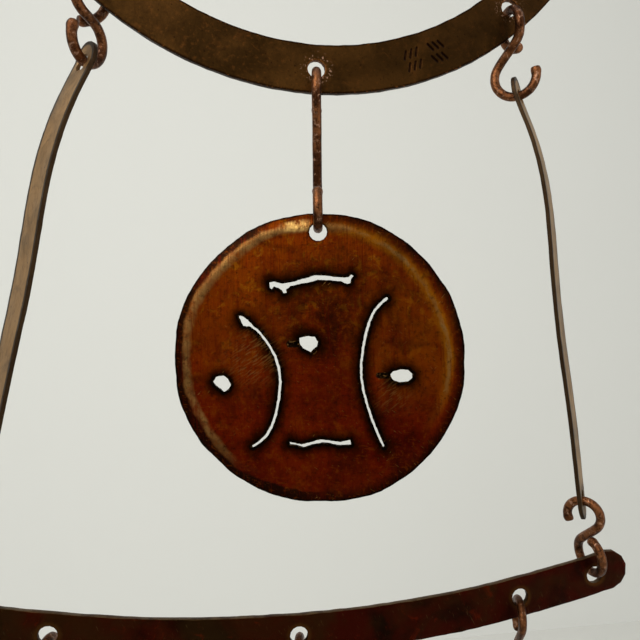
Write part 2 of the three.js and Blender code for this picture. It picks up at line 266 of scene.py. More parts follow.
class Finish:
    """A material while its nodes are laid out. Sizes are in mm."""

    stride = (3.7, 1.3, 2.9)     # between the places where the patterns take their noise

    def __init__(self, name, ground=(0, 0, 0), **constants):
        self.material = bpy.data.materials.new(name)
        self.material.use_nodes = True
        self.tree = self.material.node_tree
        self.shader = self.tree.nodes["Principled BSDF"]
        for socket, value in constants.items():
            self.shader.inputs[socket.replace("_", " ")].default_value = value
        self.place = self.node("TexCoord", output="Object")
        self.patterns = 0
        self.top = (*ground, 1.0)

    def node(self, kind, settings=(), sockets=(), output=0):
        """Adds a node: its settings first, then the values or links of its sockets."""
        made = self.tree.nodes.new("ShaderNode" + kind)
        for key, value in dict(settings).items():
            setattr(made, key, value)
        for key, value in dict(sockets).items():
            if isinstance(value, Value):
                self.tree.links.new(value.socket, made.inputs[key])
            else:
                made.inputs[key].default_value = value
        return Value(self, made.outputs[output])

    def held(self, name):
        """A number that the mesh holds at each of its points."""
        return self.node("Attribute", {"attribute_name": name}, output="Fac")

    def axis(self, vector, letter):
        return self.node("SeparateXYZ", (), {0: vector}, output=letter)

    def moved(self, scale, turn=0.0):
        """The piece's own coordinates, with each pattern taken from a fresh place."""
        self.patterns += 1
        offset = tuple(self.patterns * step for step in self.stride)
        turned = self.node("VectorRotate", {"rotation_type": "Y_AXIS"},
                           {"Vector": self.place, "Angle": turn})
        return self.node("Mapping", {"vector_type": "POINT"},
                         {"Vector": turned, "Scale": scale, "Location": offset})

    def cloud(self, size, detail=4, rough=0.55, swirl=0.0, stretch=(1, 1, 1), turn=0.0):
        """Noise from 0 to 1 whose blotches are about size across."""
        scale = tuple(s / (size * MM) for s in stretch)
        return self.node("TexNoise", {"noise_dimensions": "3D"},
                         {"Vector": self.moved(scale, turn), "Scale": 1.0, "Detail": detail,
                          "Roughness": rough, "Distortion": swirl})

    def specks(self, size, low, high):
        """Small round spots, 1 in the middle and 0 around them."""
        spot = self.node("TexVoronoi", {"feature": "F1"},
                         {"Vector": self.moved((1 / (size * MM),) * 3), "Scale": 1.0},
                         output="Distance")
        return spot.between(high, low)

    def scratches(self, across, along, turn, low, high):
        """Fine straight marks: noise drawn out along one direction."""
        lines = self.cloud(across, detail=2, rough=0.5,
                           stretch=(1, 1, across / along), turn=turn)
        return lines.between(low, high)

    def disc_spot(self, right, up, radius, soft):
        """1 in a round spot beside the big disc's middle, and 0 beyond its soft border."""
        centre = box_middle(DISC) + Vector((right, 0, up)) * MM
        away = self.node("VectorMath", {"operation": "DISTANCE"},
                         {0: self.place, 1: centre}, output="Value")
        return away.between((radius + soft) * MM, radius * MM)

    def paint(self, share, tint):
        """Lays a colour over those before it: share 0 leaves them, 1 covers them."""
        self.top = self.node("Mix", {"data_type": "RGBA", "clamp_result": True},
                                   {0: share, 6: self.top, 7: (*tint, 1.0)}, output=2)

    def relief(self, height, depth):
        """A Bump node's normal for a height from 0 to 1 that stands for a depth."""
        return self.node("Bump", (), {"Strength": 1.0, "Distance": depth * MM,
                                      "Height": height}, output="Normal")

    def finished(self, **links):
        """Joins the painted colour and these values to the shader."""
        for socket, value in {"Base_Color": self.top, **links}.items():
            self.tree.links.new(value.socket, self.shader.inputs[socket.replace("_", " ")])
        return self.material


def plate_ring():
    """Olive-brown lacquer over steel, with copper and soot patches, and painted shade that darkens
    the right of the ring.
    """
    c = settings("colours")
    f = Finish("Ring Plate", c.ring_olive, Metallic=0.98)
    rim, hole, stamp = f.held("rim"), f.held("hole"), f.held("stamp")
    across = f.axis(f.place, "X")
    f.paint(f.cloud(35, 5, 0.6, 0.6).between(0.38, 0.68), c.ring_dark_and_shade)
    f.paint(f.cloud(12, 6, 0.6, 0.3).between(0.56, 0.76) * 0.35, c.ring_copper)
    f.paint(f.cloud(18, 5, 0.55, 0.3).between(0.46, 0.68) * 0.5, c.ring_dark_and_shade)
    f.paint(rim.between(5.0, 11.0) * f.cloud(30, 4).between(0.35, 0.6) * 0.5, c.ring_dark_and_shade)
    grain = f.cloud(2.5, 5, 0.7)
    f.paint(grain.between(0.52, 0.66) * 0.35, c.burnt_and_shade)
    f.paint(grain.between(0.45, 0.34) * 0.22, c.ring_copper)
    f.paint(f.scratches(0.6, 8, 0.9, 0.68, 0.78) * 0.4, c.ring_copper)
    # Painted shade: the right of the ring is darker. The next line darkens its left side.
    f.paint(across.between(-0.06, 0.09) * 0.5, c.ring_dark_and_shade)
    f.paint(across.between(-0.03, -0.08) * 0.3, c.ring_dark_and_shade)
    patchy = f.cloud(6, 3).between(0.35, 0.6)
    speckle = f.cloud(1.1, 2, 0.6).between(0.58, 0.64) * hole.between(5.5, 1.2) * patchy
    f.paint(speckle * 0.8, c.rod_bright_and_highlight)
    f.paint(hole.between(1.0, 0.3) * 0.5, c.ring_copper)
    f.paint(f.specks(4, 0.05, 0.12) * 0.7, c.burnt_and_shade)
    f.paint(rim.between(1.3, 0.5) * 0.75, c.burnt_and_shade)
    flecks = f.cloud(1.1, 2, 0.6).between(0.6, 0.68) * rim.between(1.6, 0.2)
    f.paint(flecks * 0.7, c.ring_copper)
    f.paint(stamp.between(0.02, 0.35) * 0.97, c.burnt_and_shade)
    return f.finished(Roughness=f.cloud(10, 4) * 0.35 + 0.3, Normal=f.relief(grain, 0.16))


def disc_lacquer(f, c):
    """The blotchy lacquer: amber above, maroon below, with olive patches, and a painted pool of
    light on the upper left and the right side.
    """
    above = f.held("above")
    f.paint(f.cloud(30, 5, 0.6, 0.8).between(0.42, 0.72), c.disc_maroon)
    f.paint(above.between(-0.13, 0.67) * 0.5, c.disc_amber_and_painted_light)
    # Painted light: a soft amber pool of light on the upper left and on the right side of the
    # disc.
    upper_left = f.disc_spot(-50, 20, 14, 40)
    right_side = f.disc_spot(48, 6, 14, 32)
    painted_light_pool = (upper_left * 0.5 + right_side * 0.8) * f.cloud(18, 5, 0.6).between(0.22, 0.6)
    f.paint(painted_light_pool, c.disc_amber_and_painted_light)
    f.paint(f.cloud(13, 6, 0.62, 1.0).between(0.52, 0.74) * 0.6, c.disc_amber_and_painted_light)
    f.paint(f.cloud(10, 6, 0.65, 1.2).between(0.52, 0.72) * 0.5, c.disc_maroon)
    olive = f.cloud(7, 6, 0.7, 0.8).between(0.52, 0.64) * above.between(-0.4, 0.53)
    f.paint(olive * 0.55, c.disc_olive_and_highlight)


def disc_bead(f, c):
    """The painted highlight along the bead and the painted shade on the rim outside it. Gives the
    distance outside the bead.
    """
    rim, across, above = f.held("rim"), f.held("across"), f.held("above")
    band = f.held("bead") + f.cloud(7, 5, 0.62) * 3.2 - 1.6
    # The noise of the next line breaks up the painted highlight on the bead.
    worn = f.cloud(14, 5, 0.6, 0.8).between(0.34, 0.56)
    right_half = across.between(-0.2, 0.4)
    # Painted highlight: an olive sheen over the bead on the right half.
    band_sheen = band.between(-5.0, -0.2) * band.between(4.2, 0.2) * right_half
    f.paint(band_sheen * above.between(-0.6, 0.07) * 0.9, c.disc_olive_and_highlight)
    # Painted highlight: gold along the top of the bead on the upper right.
    crest_highlight = band.between(-1.8, -0.3) * band.between(1.6, 0.2) * right_half
    f.paint(crest_highlight * above.between(-0.47, 0.0) * worn * 0.8, c.disc_gold_and_highlight)
    # Painted shade on the rim outside the bead: on the left beyond the bead, along the right half
    # and all round the edge, less near the top where the highlight sits.
    top_side = f.disc_spot(-10, 70, 12, 14)
    left_rim_shade = band.between(0.6, 2.4) * (1 - right_half) * (1 - top_side * 0.75)
    f.paint(left_rim_shade * 0.92, c.burnt_and_shade)
    right_rim_shade = (rim + f.cloud(8, 5, 0.6) * 3.0).between(9.5, 2.2) * right_half
    f.paint(right_rim_shade * 0.86, c.burnt_and_shade)
    whole_rim_shade = (rim + f.cloud(10, 4) * 3.0).between(6.0, 1.5)
    f.paint(whole_rim_shade * (1 - top_side * 0.8) * 0.5, c.burnt_and_shade)
    # Painted highlight: gold along the bead on the left half, fading out near the bottom.
    ridge_highlight = band.between(-3.4, -1.0) * band.between(2.6, 0.4) * (1 - right_half)
    ridge_highlight = ridge_highlight * above.between(-0.83, -0.53)
    f.paint(ridge_highlight * (worn * 0.7 + 0.25), c.disc_gold_and_highlight)
    # Painted shade: darker towards the bottom of the disc.
    f.paint(above.between(-0.66, -0.92) * 0.15, c.burnt_and_shade)
    return band


def disc_wear(f, c, band):
    """Smoke stains, brush marks, scratches and a painted highlight below the hook. Gives the
    grain.
    """
    smut = f.cloud(20, 4, 0.55, 0.7).between(0.46, 0.68) * 0.5
    f.paint(smut, c.burnt_and_shade)
    sooty = f.disc_spot(2, 24, 12, 30)
    f.paint(sooty * f.cloud(12, 5, 0.65).between(0.3, 0.6) * 0.6, c.burnt_and_shade)
    grain = f.cloud(2.6, 6, 0.72)
    f.paint(grain.between(0.5, 0.66) * 0.5, c.burnt_and_shade)
    f.paint(grain.between(0.46, 0.34) * 0.45, c.disc_amber_and_painted_light)
    fine = f.cloud(5, 4, 0.55, stretch=(1, 1, 0.3))
    f.paint(fine.between(0.5, 0.74) * 0.3, c.disc_maroon)
    f.paint(f.scratches(1.1, 22, 0.06, 0.55, 0.7) * 0.4, c.disc_maroon)
    f.paint(f.scratches(0.8, 14, 1.45, 0.6, 0.76) * 0.4, c.disc_amber_and_painted_light)
    f.paint(f.scratches(0.5, 9, 0.9, 0.7, 0.77) * 0.6, c.disc_gold_and_highlight)
    # Painted highlight to the left of the hanging hole.
    shine = f.disc_spot(-12.5, 67, 1.5, 8.5)
    lit = shine * f.cloud(3.5, 4, 0.6).between(0.3, 0.6) * band.between(-2.6, -0.8)
    f.paint(lit * f.held("rim").between(2.0, 3.8) * 0.85, c.disc_highlight)
    return grain


def disc_burns(f, c):
    """Smoke, soot and slag around the torch cuts. Gives the share of the smoke near them."""
    cut, pit = f.held("cut"), f.held("pit")
    core = (cut + f.cloud(2, 4, 0.6) * 2.2).between(3.3, 2.0)
    halo = (cut + f.cloud(6, 5, 0.62) * 6.0).between(11.5, 3.6)
    f.paint(halo * 0.9, c.burnt_and_shade)
    far_smoke = (cut + f.cloud(12, 6, 0.7, 1.0) * 22.0).between(17.0, 9.0)
    f.paint(far_smoke * 0.65, c.burnt_and_shade)
    f.paint(core * 0.97, c.soot)
    f.paint(pit.between(0.12, 0.5) * 0.97, c.soot)
    slag = f.cloud(1.3, 3, 0.6).between(0.55, 0.62)
    f.paint(slag * pit.between(0.1, 0.5) * 0.55, c.disc_gold_and_highlight)
    f.paint(slag * cut.between(0.9, 0.2) * 0.2, c.disc_gold_and_highlight)
    return halo


def disc_marks(f, c):
    """Nicks, combed scratches, specks and the black outer edge."""
    nicks = f.scratches(0.6, 5, -0.8, 0.67, 0.72) * f.cloud(20, 3).between(0.56, 0.62)
    f.paint(nicks * 0.6, c.disc_gold_and_highlight)
    combed = f.disc_spot(-35, 0, 6, 14) + f.disc_spot(38, -20, 4, 12)
    f.paint(f.scratches(0.7, 12, -0.95, 0.5, 0.62) * combed * 0.3, c.disc_gold_and_highlight)
    f.paint(f.held("hole").between(1.2, 0.4) * 0.7, c.soot)
    f.paint(f.specks(7.5, 0.03, 0.08) * 0.6, c.soot)
    f.paint((f.held("rim") + f.cloud(6, 4) * 1.6).between(2.3, 1.2) * 0.92, c.soot)


def plate_disc():
    """Amber and copper-brown lacquer, scorched black along the cuts, with a painted gold highlight
    on the bead, painted shade on the rim and a painted pool of light.
    """
    c = settings("colours")
    f = Finish("Disc Plate", c.disc_copper, Metallic=1.0, Coat_Roughness=0.25)
    disc_lacquer(f, c)
    band = disc_bead(f, c)
    grain = disc_wear(f, c, band)
    halo = disc_burns(f, c)
    disc_marks(f, c)
    brushed = f.scratches(0.8, 30, 0.0, 0.3, 0.8) * 0.4 + grain * 0.6
    return f.finished(Roughness=f.cloud(12, 4) * 0.25 + 0.24 + halo * 0.25,
                      Coat_Weight=0.03 - halo * 0.03, Normal=f.relief(brushed, 0.12))


def bent_rod():
    """Copper-brown fire scale, pitted dark in places, with painted highlights in bright patches.
    """
    c = settings("colours")
    f = Finish("Hook Rod", c.rod_copper, Metallic=0.95)
    f.paint(f.cloud(10, 5, 0.6, 0.5).between(0.38, 0.62), c.rod_dark)
    # Painted highlights: bright patches over the rod.
    f.paint(f.cloud(3, 5, 0.65, 0.8).between(0.54, 0.67) * 0.55, c.rod_bright_and_highlight)
    f.paint(f.cloud(4.5, 6, 0.7, 1.0).between(0.52, 0.66) * 0.8, c.burnt_and_shade)
    pits = f.cloud(1.3, 4, 0.65)
    f.paint(pits.between(0.44, 0.34) * 0.7, c.burnt_and_shade)
    return f.finished(Roughness=f.cloud(4, 4) * 0.4 + 0.2, Normal=f.relief(pits, 0.3))


def bar_strap():
    """Grey-brown faces and darker edges."""
    c = settings("colours")
    f = Finish("Strap Bar", c.strap_face, Metallic=0.9)
    rim, hole = f.held("rim"), f.held("hole")
    f.paint(f.cloud(20, 5, 0.6, 0.3).between(0.4, 0.7) * 0.5, c.strap_edge)
    f.paint(f.scratches(0.9, 40, 0.0, 0.5, 0.7) * 0.3, c.ring_olive)
    f.paint(rim.between(2.5, 1.5) * 0.95, c.strap_edge)
    f.paint(f.cloud(9, 6, 0.7, 1.0).between(0.5, 0.7) * 0.35, c.burnt_and_shade)
    f.paint(hole.between(6.0, 1.5) * 0.6, c.strap_edge)
    f.paint(f.specks(5, 0.05, 0.13) * 0.5, c.burnt_and_shade)
    return f.finished(Roughness=f.cloud(12, 4) * 0.3 + 0.32,
                      Normal=f.relief(f.cloud(2, 5, 0.65), 0.1))


def bar_lower():
    """Very dark maroon-brown, with painted light in olive on the upward faces and painted shade on
    the downward edges.
    """
    c = settings("colours")
    f = Finish("Lower Bar", c.bar_maroon, Metallic=0.98)
    rim, hole = f.held("rim"), f.held("hole")
    up = f.axis(f.node("NewGeometry", output="Normal"), "Z")
    f.paint(f.cloud(30, 5, 0.6, 0.6).between(0.4, 0.66), c.burnt_and_shade)
    f.paint(f.cloud(45, 5, 0.6, 0.4).between(0.4, 0.62) * 0.7, c.ring_dark_and_shade)
    f.paint(f.cloud(8, 5, 0.65, 0.5).between(0.58, 0.74) * 0.4, c.disc_copper)
    f.paint(f.scratches(0.7, 6, 0.4, 0.68, 0.74) * 0.4, c.bar_olive_and_light)
    f.paint(hole.between(3.0, 0.6) * 0.5, c.ring_olive)
    # Painted light: the upward faces are lighter olive, broken up by noise.
    worn = f.cloud(10, 5, 0.65).between(0.3, 0.6)
    f.paint(up.between(0.35, 0.8) * worn, c.bar_olive_and_light)
    # Painted shade: the downward edges are darker.
    f.paint(rim.between(1.0, 0.3) * up.between(-0.2, -0.6), c.burnt_and_shade)
    return f.finished(Roughness=f.cloud(12, 4) * 0.3 + 0.34,
                      Normal=f.relief(f.cloud(2.2, 5, 0.65), 0.1))


FINISHES = {"ring_plate": plate_ring, "disc_plate": plate_disc, "hook_rod": bent_rod,
            "strap_bar": bar_strap, "lower_bar": bar_lower}


def finish_for(slot):
    """The slot's material, laid out the first time that a piece asks for it."""
    name = slot.replace("_", " ").title()
    return bpy.data.materials.get(name) or FINISHES[slot]()


# ------------------------------------------------------------------------------- shaping

def skin_of(node):
    """A copy of a CAD node's triangles, joined into one closed skin."""
    bm = bmesh.new()
    bm.from_mesh(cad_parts[node].data)
    bmesh.ops.remove_doubles(bm, verts=bm.verts, dist=MERGE)
    if not bm.faces:
        raise RuntimeError(f"{node} has no faces to work from")
    return bm


def arrises(bm):
    return [e for e in bm.edges if len(e.link_faces) == 2 and e.calc_face_angle() > SHARP]


def joined_groups(items, neighbours):
    """Splits a mesh's edges or faces into groups that hang together, in a steady order."""
    left, groups = dict.fromkeys(items), []
    while left:
        group = [left.popitem()[0]]
        for item in group:
            for other in neighbours(item):
                if other in left:
                    del left[other]
                    group.append(other)
        groups.append(group)
    return groups


def outlines(bm):
    """The arrises as joined groups, as (edges, box size) from the largest to the smallest."""
    groups = []
    for group in joined_groups(arrises(bm), lambda e: [n for v in e.verts for n in v.link_edges]):
        low, high = box_of([v.co for e in group for v in e.verts])
        groups.append((group, high - low))
    return sorted(groups, key=lambda g: -g[1].length)


def tree_of(groups):
    """A lookup of points along the edges of these groups, or None if there are none."""
    points = []
    for edges, _ in groups:
        for edge in edges:
            a, b = (v.co for v in edge.verts)
            pieces = max(1, round((b - a).length / TREE_STEP))
            points.extend(a.lerp(b, i / pieces) for i in range(pieces))
    tree = kdtree.KDTree(max(1, len(points)))
    for index, point in enumerate(points):
        tree.insert(point, index)
    tree.balance()
    return tree if points else None


def outline_trees(bm):
    """Lookups for the outer edge (rim), the round hanging holes (hole) and the cuts (cut)."""
    groups = outlines(bm)
    widest = groups[0][1].length
    sorts = {"rim": [], "hole": [], "cut": []}
    for group in groups:
        size = group[1]
        height, width = size.z, Vector((size.x, size.y)).length
        if size.length > widest / 2:
            sorts["rim"].append(group)
        elif HOLE_SIZES[0] < height < HOLE_SIZES[1] and abs(height - width) < HOLE_ROUND:
            sorts["hole"].append(group)
        else:
            sorts["cut"].append(group)
    return {name: tree_of(found) for name, found in sorts.items()}


def hold_distances(bm, trees):
    """Each point holds its distance from the rim, a hanging hole and a cut, in mm."""
    for name, tree in trees.items():
        layer = bm.verts.layers.float.new(name)
        for vert in bm.verts:
            away = tree.find(vert.co)[2] / MM if tree else FAR
            vert[layer] = min(FAR, away)


def slice_through(bm, normal, low, high, step, inside=None):
    """Cuts the skin with parallel planes a step apart, within the faces that inside takes."""
    for index in range(1, math.ceil((high - low) / step)):
        point = normal * (low + index * step)
        faces = [f for f in bm.faces if inside is None or inside(f)]
        parts = dict.fromkeys(faces)
        for face in faces:
            parts.update(dict.fromkeys((*face.edges, *face.verts)))
        bmesh.ops.bisect_plane(bm, geom=list(parts), dist=MERGE, plane_co=point,
                               plane_no=normal)


def cut_to_grid(bm, plane, step):
    """Gives a plate's faces an even mesh, cut across and along it."""
    for normal in (plane.right, UP):
        spread = [v.co.dot(normal) for v in bm.verts]
        slice_through(bm, normal, min(spread), max(spread), step)


def refine(bm, tree, step, fine):
    """Halves the mesh near a tree's outline until its edges are about as short as fine."""
    reach = FIRST_REACH * step
    while step > fine:
        near = [e for e in bm.edges if e.calc_length() > fine
                and tree.find((e.verts[0].co + e.verts[1].co) / 2)[2] < reach]
        bmesh.ops.subdivide_edges(bm, edges=near, cuts=1, use_grid_fill=True)
        step, reach = step / 2, reach / REACH_FALL


def soften(bm, width):
    """Wears every arris into a narrow rounded corner."""
    bmesh.ops.bevel(bm, geom=arrises(bm), offset=width, offset_type="OFFSET", segments=2,
                    profile=0.5, affect="EDGES", clamp_overlap=False, material=-1)
    bmesh.ops.remove_doubles(bm, verts=bm.verts, dist=MERGE)


class Plane:
    """A flat plate's own directions: right, up and towards the viewer."""

    def __init__(self, bm):
        front = max((f for f in bm.faces if f.normal.y < -0.3), key=lambda f: f.calc_area())
        self.out = front.normal.copy()
        self.right = UP.cross(self.out).normalized()
        self.up = self.out.cross(self.right)
        low, high = box_of([v.co for v in bm.verts])
        self.middle, self.half = (low + high) / 2, (high - low) / 2

    def flat(self, point):
        """A point as (right, up, out) from the plate's middle."""
        away = point - self.middle
        return Vector((away.dot(self.right), away.dot(self.up), away.dot(self.out)))


def ease(value):
    value = min(1.0, max(0.0, value))
    return value * value * (3 - 2 * value)


def wander(point, size, seed):
    """A smooth random vector, each part about -1 to 1, that changes over size metres."""
    return noise.noise_vector(point / size + Vector((seed, seed * 1.7, -seed)))


def bead_profile(away, plate):
    """Height of a beaten disc across its bead: away is metres outside the bead's top."""
    bead = plate.bead_height * math.exp(-(away / (plate.bead_width / 2)) ** 2)
    return bead - plate.rim_fall * ease(away / plate.bead_inset)


def work_plate(bm, plane, seed, beaten=0.0, pits=()):
    """Beads, warps and hammers a plate, and roughens its cut edges."""
    plate = settings("plates")
    rim, cut = (bm.verts.layers.float[name] for name in ("rim", "cut"))
    bead, pit, across, above = (bm.verts.layers.float.new(name)
                                for name in ("bead", "pit", "across", "above"))
    bead_radius = plane.half.z - plate.bead_inset
    moves = []
    for vert in bm.verts:
        flat = plane.flat(vert.co)
        out = plate.warp * wander(vert.co, WARP_SIZE, seed).y
        out += plate.hammer * wander(vert.co, HAMMER_SIZE, seed + 5).y
        if beaten:
            radius = math.hypot(flat.x + plate.bead_side * beaten, flat.y)
            away = radius - bead_radius
            away += plate.bead_stray * wander(vert.co, BEAD_SIZE, seed + 23).x
            out += beaten * bead_profile(away, plate)
            vert[bead] = away / MM
            vert[across], vert[above] = flat.x / plane.half.z, flat.y / plane.half.z
        for right, up, half in pits:
            beside = max(0.0, abs(flat.x / MM - right) - half)
            beyond = math.hypot(beside, flat.y / MM - up) * MM / plate.pit_radius
            share = ease(1.2 - beyond)
            vert[pit] = max(vert[pit], share)
            if flat.z > 0:
                out -= plate.pit_depth * share
        near_cut = ease(1 - vert[cut] * MM / plate.lip_reach)
        if flat.z > 0:
            grain = 0.5 + wander(vert.co, LIP_SIZE, seed + 9).x
            out += plate.lip * near_cut * max(0.0, grain)
        jag = wander(vert.co, JAG_SIZE, seed + 13)
        slow = wander(vert.co, SLOW_SIZE, seed + 17)
        edge = ease(1 - vert[rim] * MM / plate.edge_reach)
        side = plate.ragged * (near_cut * jag + edge * (0.5 * jag + slow))
        if beaten:
            stray = plate.rim_wander * ease(1 - vert[rim] * MM / plate.rim_reach)
            side += stray * wander(vert.co, RIM_SIZE, seed + 29)
        moves.append(plane.out * out + plane.right * side.x + plane.up * side.z)
    for vert, move in zip(bm.verts, moves):
        vert.co += move


def into_piece(bm, name, node, slot, smooth_below=SMOOTH):
    """Makes the finished mesh an object in the CAD node's place."""
    bmesh.ops.dissolve_degenerate(bm, edges=bm.edges, dist=MERGE)
    wide = [f for f in bm.faces if len(f.verts) > 4]
    bmesh.ops.triangulate(bm, faces=wide, ngon_method="BEAUTY")
    bm.normal_update()
    for face in bm.faces:
        face.smooth = True
    for edge in bm.edges:
        edge.smooth = len(edge.link_faces) == 2 and edge.calc_face_angle() < smooth_below
    mesh = bpy.data.meshes.new(name)
    bm.to_mesh(mesh)
    bm.free()
    mesh.materials.append(finish_for(slot))
    piece = add_object(name, mesh)
    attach(piece, "root")
    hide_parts(node)
    return piece


def flat_plate(node, name, slot, step, seed, beaten=0.0, pits=(), extra=None):
    """A cut plate: its own outline with worn corners, an even mesh and an uneven surface."""
    plate = settings("plates")
    bm = skin_of(node)
    trees = outline_trees(bm)
    bmesh.ops.dissolve_limit(bm, angle_limit=math.radians(0.5), verts=bm.verts,
                             edges=bm.edges)
    soften(bm, plate.arris)
    plane = Plane(bm)
    cut_to_grid(bm, plane, step)
    if trees["cut"]:
        refine(bm, trees["cut"], step, plate.cut_step)
    if extra:
        extra(bm, plane)
    hold_distances(bm, trees)
    work_plate(bm, plane, seed, beaten, pits)
    return into_piece(bm, name, node, slot)


def rod(node, name, seed):
    """A bent rod: its CAD line, a little wavering, scaled and with rounded cut ends."""
    rods = settings("rods")
    bm = skin_of(node)
    sharp = set(arrises(bm))
    regions = joined_groups(
        bm.faces, lambda face: [f for e in face.edges if e not in sharp for f in e.link_faces])
    regions.sort(key=len)
    ends = []
    for region in regions[:-1]:
        ends += bmesh.ops.dissolve_faces(bm, faces=region, use_verts=False)["region"]
    bmesh.ops.join_triangles(bm, faces=[f for f in bm.faces if f not in ends],
                             angle_face_threshold=math.radians(40),
                             angle_shape_threshold=math.radians(60))
    bmesh.ops.inset_individual(bm, faces=ends, thickness=rods.cap, depth=rods.cap * 0.35)
    bmesh.ops.subdivide_edges(bm, edges=bm.edges, cuts=1, use_grid_fill=True, smooth=1.0)
    moves = [rods.waver * wander(v.co, WAVER_SIZE, seed)
             + v.normal * (rods.scale * wander(v.co, SCALE_SIZE, seed + 3).x)
             for v in bm.verts]
    for vert, move in zip(bm.verts, moves):
        vert.co += move
    piece = into_piece(bm, name, node, "hook_rod", ROD_SMOOTH)
    smooth = piece.modifiers.new("Smooth", "SUBSURF")
    smooth.levels = smooth.render_levels = rods.smoothness
    return piece


# ------------------------------------------------------------------------------ operators

class MOBILE_OT_upper_ring(bpy.types.Operator):
    """Make the upper ring, with its row of punched strokes"""

    bl_idname = "mobile.upper_ring"
    bl_label = "Upper Ring"

    # Strokes, in mm from the middle of the marked spot: (along the ring, inward, lean in radians).
    strokes = tuple((across, 3.3 * row, lean)
                    for across, lean in ((-11.2, 0.5), (-8.0, 0.5), (-4.8, 0.5),
                                         (3.6, -0.5), (6.6, -0.5), (9.6, -0.5))
                    for row in (-1, 1))
    stroke_half = 2.1                       # mm, half a stroke's length
    middle_angle = math.radians(21.6)       # from the ring's bottom to the marked spot
    from_outside = 12.5 * MM                # from the ring's outer edge to the marked spot
    spot_half = Vector((16, 9)) * MM        # half size of the spot's fine mesh

    def punch(self, bm, plane):
        """Sinks the strokes into the front face, over a finer mesh."""
        plate = settings("plates")
        radius = plane.half.z - self.from_outside
        along = Vector((math.cos(self.middle_angle), math.sin(self.middle_angle)))
        inward = Vector((-along.y, along.x))
        centre = Vector((math.sin(self.middle_angle), -math.cos(self.middle_angle))) * radius
        area = self.spot_half

        def in_area(point):
            flat = plane.flat(point)
            away = Vector((flat.x, flat.y)) - centre
            return flat.z > 0 and abs(away.dot(along)) < area.x and abs(away.dot(inward)) < area.y

        def face_in_area(face):
            return face.normal.dot(plane.out) > 0.9 and in_area(face.calc_center_median())

        spot = plane.middle + plane.right * centre.x + plane.up * centre.y
        for normal in (plane.right, UP):
            at = spot.dot(normal)
            slice_through(bm, normal, at - area.x, at + area.x, plate.stamp_step, face_in_area)
        layer = bm.verts.layers.float.new("stamp")
        for vert in bm.verts:
            if not in_area(vert.co):
                continue
            flat = plane.flat(vert.co)
            away = Vector((flat.x, flat.y)) - centre
            place = Vector((away.dot(along), away.dot(inward))) / MM
            nearest = FAR
            for across, high, lean in self.strokes:
                line = Vector((math.sin(lean), math.cos(lean)))
                start = place - Vector((across, high))
                reach = min(self.stroke_half, max(-self.stroke_half, start.dot(line)))
                nearest = min(nearest, (start - line * reach).length)
            share = ease(1 - nearest * MM / plate.stroke_width)
            vert[layer] = share
            vert.co -= plane.out * plate.stroke_depth * share

    def execute(self, context):
        flat_plate("upper_ring", "Upper_Ring", "ring_plate", settings("plates").ring_step,
                   seed=3, extra=self.punch)
        return {"FINISHED"}


class MOBILE_OT_centre_disc(bpy.types.Operator):
    """Make the big disc with its torch-cut bars, arcs and holes"""

    bl_idname = "mobile.centre_disc"
    bl_label = "Centre Disc"

    pits = ((-13.4, 7.0, 2.4), (33.2, -9.3, 2.6))     # mm: right, up and half length

    def execute(self, context):
        plate = settings("plates")
        flat_plate("centre_disc", "Centre_Disc", "disc_plate", plate.disc_step, seed=11,
                   beaten=1.0, pits=self.pits)
        return {"FINISHED"}


class MOBILE_OT_pendant_discs(bpy.types.Operator):
    """Make the three small discs below the bar"""

    bl_idname = "mobile.pendant_discs"
    bl_label = "Pendant Discs"

    def execute(self, context):
        step = settings("plates").disc_step * 1.3
        for index, side in enumerate(("left", "centre", "right")):
            flat_plate(f"{side}_pendant_disc", f"{side.title()}_Pendant_Disc", "disc_plate",
                       step, seed=21 + 6 * index, beaten=0.7)
        return {"FINISHED"}


class MOBILE_OT_long_hooks(bpy.types.Operator):
    """Make the hanger and the centre hook"""

    bl_idname = "mobile.long_hooks"
    bl_label = "Long Hooks"

    def execute(self, context):
        rod("hanger_hook", "Hanger_Hook", seed=41)
        rod("centre_hook", "Centre_Hook", seed=47)
        return {"FINISHED"}


class MOBILE_OT_strap_hooks(bpy.types.Operator):
    """Make the four hooks at the ends of the side straps"""

    bl_idname = "mobile.strap_hooks"
    bl_label = "Strap Hooks"

    def execute(self, context):
        for index, side in enumerate(("left", "right")):
            for step, level in enumerate(("upper", "lower")):
                rod(f"{side}_{level}_hook", f"{side.title()}_{level.title()}_Hook",
                    seed=53 + 7 * index + 17 * step)
        return {"FINISHED"}


class MOBILE_OT_pendant_hooks(bpy.types.Operator):
    """Make the three thin hooks of the small discs"""

    bl_idname = "mobile.pendant_hooks"
    bl_label = "Pendant Hooks"

    def execute(self, context):
        for index, side in enumerate(("left", "centre", "right")):
            rod(f"{side}_pendant_hook", f"{side.title()}_Pendant_Hook", seed=83 + 5 * index)
        return {"FINISHED"}


class MOBILE_OT_side_straps(bpy.types.Operator):
    """Make the two side straps, whose bow has to stay"""

    bl_idname = "mobile.side_straps"
    bl_label = "Side Straps"

    def execute(self, context):
        plate = settings("plates")
        for index, side in enumerate(("left", "right")):
            node = f"{side}_strap"
            bm = skin_of(node)
            trees = outline_trees(bm)
            soften(bm, plate.arris)
            plane = Plane(bm)
            cut_to_grid(bm, plane, plate.bar_step / 2)
            hold_distances(bm, trees)
            work_plate(bm, plane, seed=61 + 9 * index)
            into_piece(bm, f"{side.title()}_Strap", node, "strap_bar")
        return {"FINISHED"}


class MOBILE_OT_lower_bar(bpy.types.Operator):
    """Make the curved lower bar"""

    bl_idname = "mobile.lower_bar"
    bl_label = "Lower Bar"

    def execute(self, context):
        flat_plate("lower_bar", "Lower_Bar", "lower_bar", settings("plates").bar_step,
                   seed=71)
        return {"FINISHED"}


